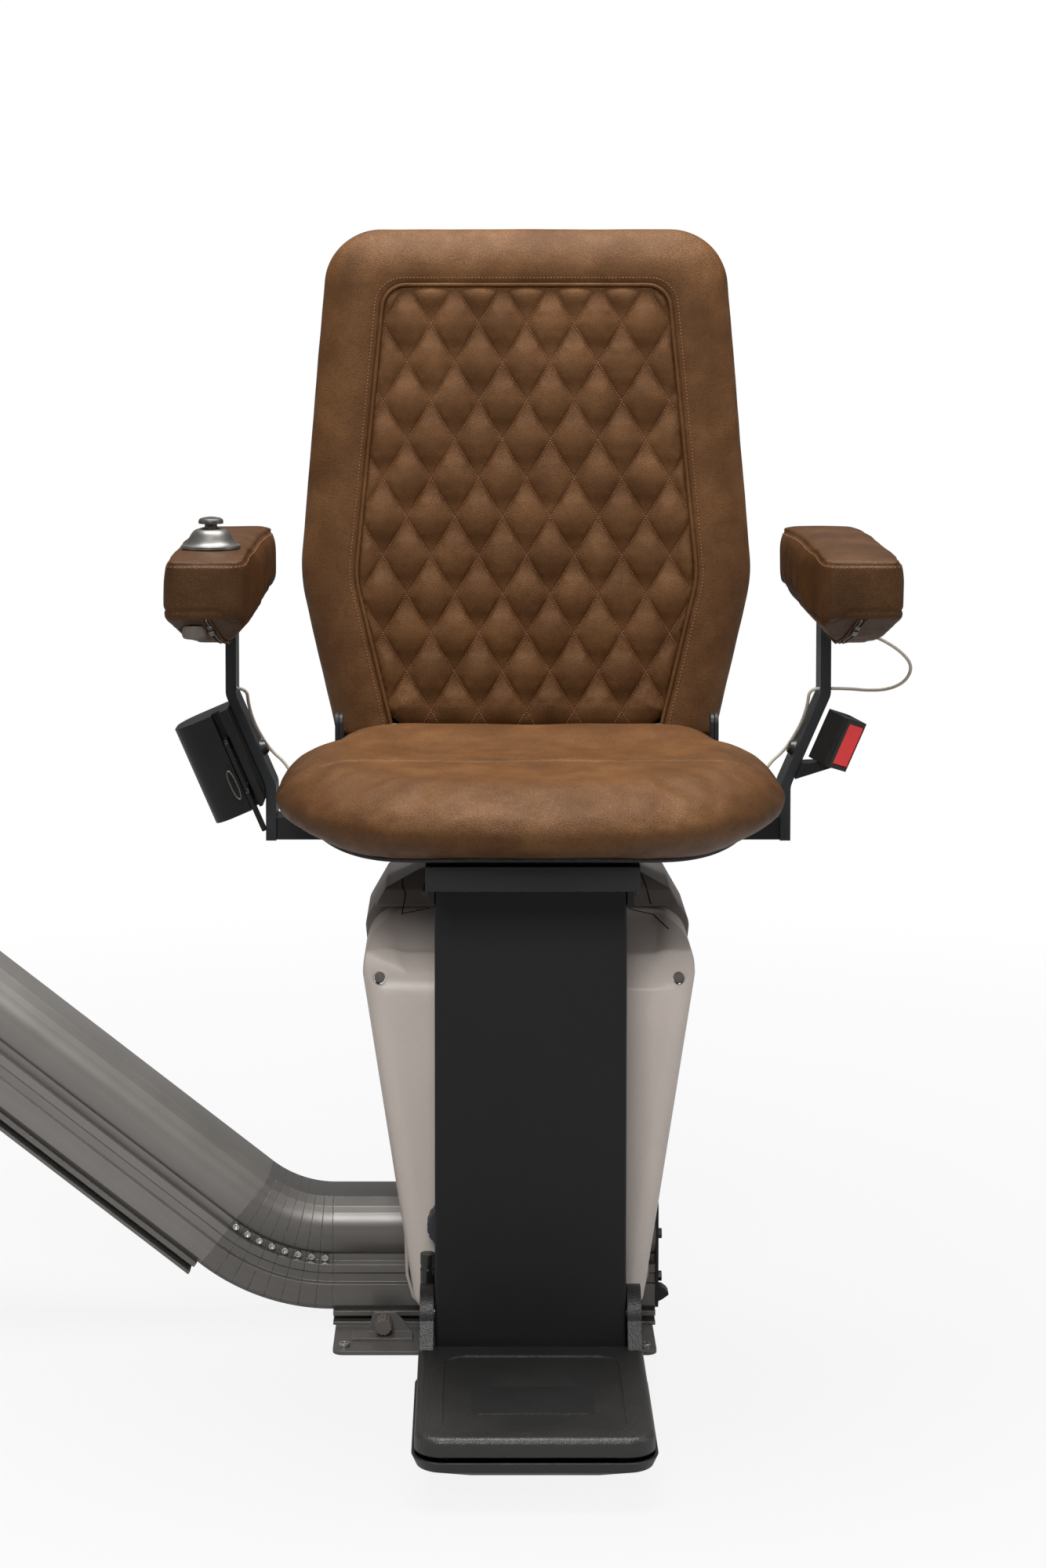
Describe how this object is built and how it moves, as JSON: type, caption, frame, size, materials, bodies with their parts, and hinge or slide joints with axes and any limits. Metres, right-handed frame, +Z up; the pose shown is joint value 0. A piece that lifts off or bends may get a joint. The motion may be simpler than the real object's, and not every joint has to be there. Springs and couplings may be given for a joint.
{
  "type": "stairlift chair",
  "caption": "Stairlift chair on a short rail: carriage, swivelling fold-up seat with quilted back, folding arms with a joystick, belt buckle and fold-up footrest.",
  "frame": {"origin": "on the floor under the swivel's axis line, on the underside of the rail's foot plate", "axes": "+Z up; +X along the level rail, away from the stairs; the sitter faces -Y"},
  "size_m": [0.9691, 0.5527, 1.0888],
  "materials": {
    "rail_aluminium": "satin anodised, champagne grey",
    "rack_steel": "machined",
    "end_cap": "satin",
    "foot_paint": "satin powder coat",
    "knob_grey": "satin",
    "dark_screw": "blackened",
    "bright_screw": "zinc plated",
    "chassis_paint": "satin black",
    "gear_casting": "as cast",
    "battery_case": "satin",
    "roller_nylon": "satin",
    "cover_greige": "satin, slightly metallic",
    "plate_black": "satin black",
    "knob_blue_grey": "satin",
    "actuator_black": "satin",
    "tread_grey": "grained",
    "buffer_rubber": "matte",
    "shell_black": "grained",
    "leather_brown": "satin, mottled",
    "bar_black": "satin black",
    "turret_silver": "satin silver",
    "button_dark": "satin",
    "belt_black": "satin",
    "button_red": "gloss",
    "cable_beige": "satin"
  },
  "bodies": {
    "rail": {"rail_level": "rail_aluminium", "rail_incline": "rail_aluminium", "rail_channels": "rail_aluminium", "bend_wedges": "rail_aluminium", "bend_screws": "dark_screw", "rack": "rack_steel", "rail_end_plate": "end_cap", "end_plate_bolts": "dark_screw", "end_stop_hook": "dark_screw", "foot_plate": "foot_paint", "foot_screws": "bright_screw", "foot_ear": "foot_paint"},
    "clamp_knob": {"clamp_knob": "knob_grey"},
    "carriage": {"chassis": "chassis_paint", "saddle": "chassis_paint", "gearmotor": "gear_casting", "batteries": "battery_case", "mast": "chassis_paint", "front_cover": "cover_greige", "upper_housing": "cover_greige", "side_skirt": "cover_greige", "cover_screws": "bright_screw", "beam": "plate_black", "front_plate": "plate_black", "plate_bolts": "plate_black", "footrest_pins": "bright_screw", "footrest_actuator": "actuator_black", "swivel_base": "chassis_paint"},
    "top_roller_left": {"top_roller_left": "roller_nylon"},
    "top_roller_right": {"top_roller_right": "roller_nylon"},
    "side_roller_left": {"side_roller_left": "roller_nylon"},
    "side_roller_right": {"side_roller_right": "roller_nylon"},
    "pinion": {"drive_pinion": "rack_steel"},
    "wind_knob": {"hand_wind_knob": "knob_blue_grey"},
    "footrest": {"footrest_tread": "tread_grey"},
    "safety_pan": {"footrest_pan": "tread_grey"},
    "seat": {"seat_frame": "chassis_paint", "seat_buffers": "buffer_rubber", "back_cushion": "leather_brown", "back_shell": "shell_black", "back_frame": "chassis_paint", "arm_bar_left": "bar_black", "arm_bar_right": "bar_black", "belt_bolts": "bar_black", "belt_reel": "belt_black", "belt_tongue": "belt_black", "buckle_body": "belt_black", "buckle_stalk": "belt_black", "bar_leads": "cable_beige", "pad_cable": "cable_beige"},
    "seat_pan": {"seat_pan": "shell_black", "seat_cushion": "leather_brown"},
    "arm_left": {"arm_core_left": "bar_black", "arm_pad_left": "leather_brown", "joystick_turret": "turret_silver"},
    "joystick": {"joystick_button": "button_dark"},
    "pad_button": {"pad_button": "knob_grey"},
    "arm_right": {"arm_core_right": "bar_black", "arm_pad_right": "leather_brown"},
    "buckle_button": {"buckle_button": "button_red"}
  },
  "joints": [
    {"name": "carriage_travel", "type": "slide", "parent": "rail", "child": "carriage", "axis": [1, 0, 0], "range_m": [-0.1, 0]},
    {"name": "top_roller_left_spin", "type": "hinge", "parent": "carriage", "child": "top_roller_left", "pos_m": [-0.07, 0, 0.1452], "axis": [0, 1, 0], "range_deg": [-360, 0]},
    {"name": "top_roller_right_spin", "type": "hinge", "parent": "carriage", "child": "top_roller_right", "pos_m": [0.07, 0, 0.1452], "axis": [0, 1, 0], "range_deg": [-360, 0]},
    {"name": "side_roller_left_spin", "type": "hinge", "parent": "carriage", "child": "side_roller_left", "pos_m": [-0.07, -0.0462, 0.035], "axis": [0, 0, 1], "range_deg": [-525, 0]},
    {"name": "side_roller_right_spin", "type": "hinge", "parent": "carriage", "child": "side_roller_right", "pos_m": [0.07, -0.0462, 0.035], "axis": [0, 0, 1], "range_deg": [-525, 0]},
    {"name": "pinion_spin", "type": "hinge", "parent": "carriage", "child": "pinion", "pos_m": [0, 0.05, 0.068], "axis": [0, 0, 1], "range_deg": [0, 320]},
    {"name": "hand_wind", "type": "hinge", "parent": "carriage", "child": "wind_knob", "pos_m": [-0.076, -0.17, 0.151], "axis": [0, 1, 0], "range_deg": [-180, 180]},
    {"name": "clamp_knob_turn", "type": "hinge", "parent": "rail", "child": "clamp_knob", "pos_m": [-0.1405, -0.07, 0.0167], "axis": [0, 1, 0], "range_deg": [0, 360]},
    {"name": "footrest_fold", "type": "hinge", "parent": "carriage", "child": "footrest", "pos_m": [0, -0.222, 0.084], "axis": [-1, 0, 0], "range_deg": [0, 90]},
    {"name": "safety_pan_lift", "type": "slide", "parent": "footrest", "child": "safety_pan", "axis": [0, 0, 1], "range_m": [0, 0.0035], "stiffness_N_per_m": 600, "springref_m": -0.002},
    {"name": "seat_swivel", "type": "hinge", "parent": "carriage", "child": "seat", "pos_m": [0, -0.19, 0.496], "axis": [0, 0, 1], "range_deg": [-75, 75]},
    {"name": "seat_fold", "type": "hinge", "parent": "seat", "child": "seat_pan", "pos_m": [0, -0.011, 0.601], "axis": [-1, 0, 0], "range_deg": [0, 85]},
    {"name": "arm_left_fold", "type": "hinge", "parent": "seat", "child": "arm_left", "pos_m": [-0.285, -0.08, 0.745], "axis": [-1, 0, 0], "range_deg": [0, 90]},
    {"name": "joystick_tilt", "type": "hinge", "parent": "arm_left", "child": "joystick", "pos_m": [-0.285, -0.305, 0.818], "axis": [0, 1, 0], "range_deg": [-12, 12], "stiffness_Nm_per_rad": 0.05},
    {"name": "pad_button_press", "type": "slide", "parent": "arm_left", "child": "pad_button", "axis": [0, 0, 1], "range_m": [0, 0.002], "stiffness_N_per_m": 300, "springref_m": -0.001},
    {"name": "arm_right_fold", "type": "hinge", "parent": "seat", "child": "arm_right", "pos_m": [0.285, -0.08, 0.745], "axis": [-1, 0, 0], "range_deg": [0, 90], "deforming": ["pad_cable"]},
    {"name": "buckle_press", "type": "slide", "parent": "seat", "child": "buckle_button", "axis": [-0.6192, 0.7378, 0.2688], "range_m": [0, 0.003], "stiffness_N_per_m": 500, "springref_m": -0.001}
  ],
  "couplings": [
    {"joint": "top_roller_left_spin", "follows": "carriage_travel", "rad_per_m": 62.5},
    {"joint": "top_roller_right_spin", "follows": "carriage_travel", "rad_per_m": 62.5},
    {"joint": "side_roller_left_spin", "follows": "carriage_travel", "rad_per_m": 90.909},
    {"joint": "side_roller_right_spin", "follows": "carriage_travel", "rad_per_m": 90.909},
    {"joint": "pinion_spin", "follows": "carriage_travel", "rad_per_m": -55.556}
  ]
}
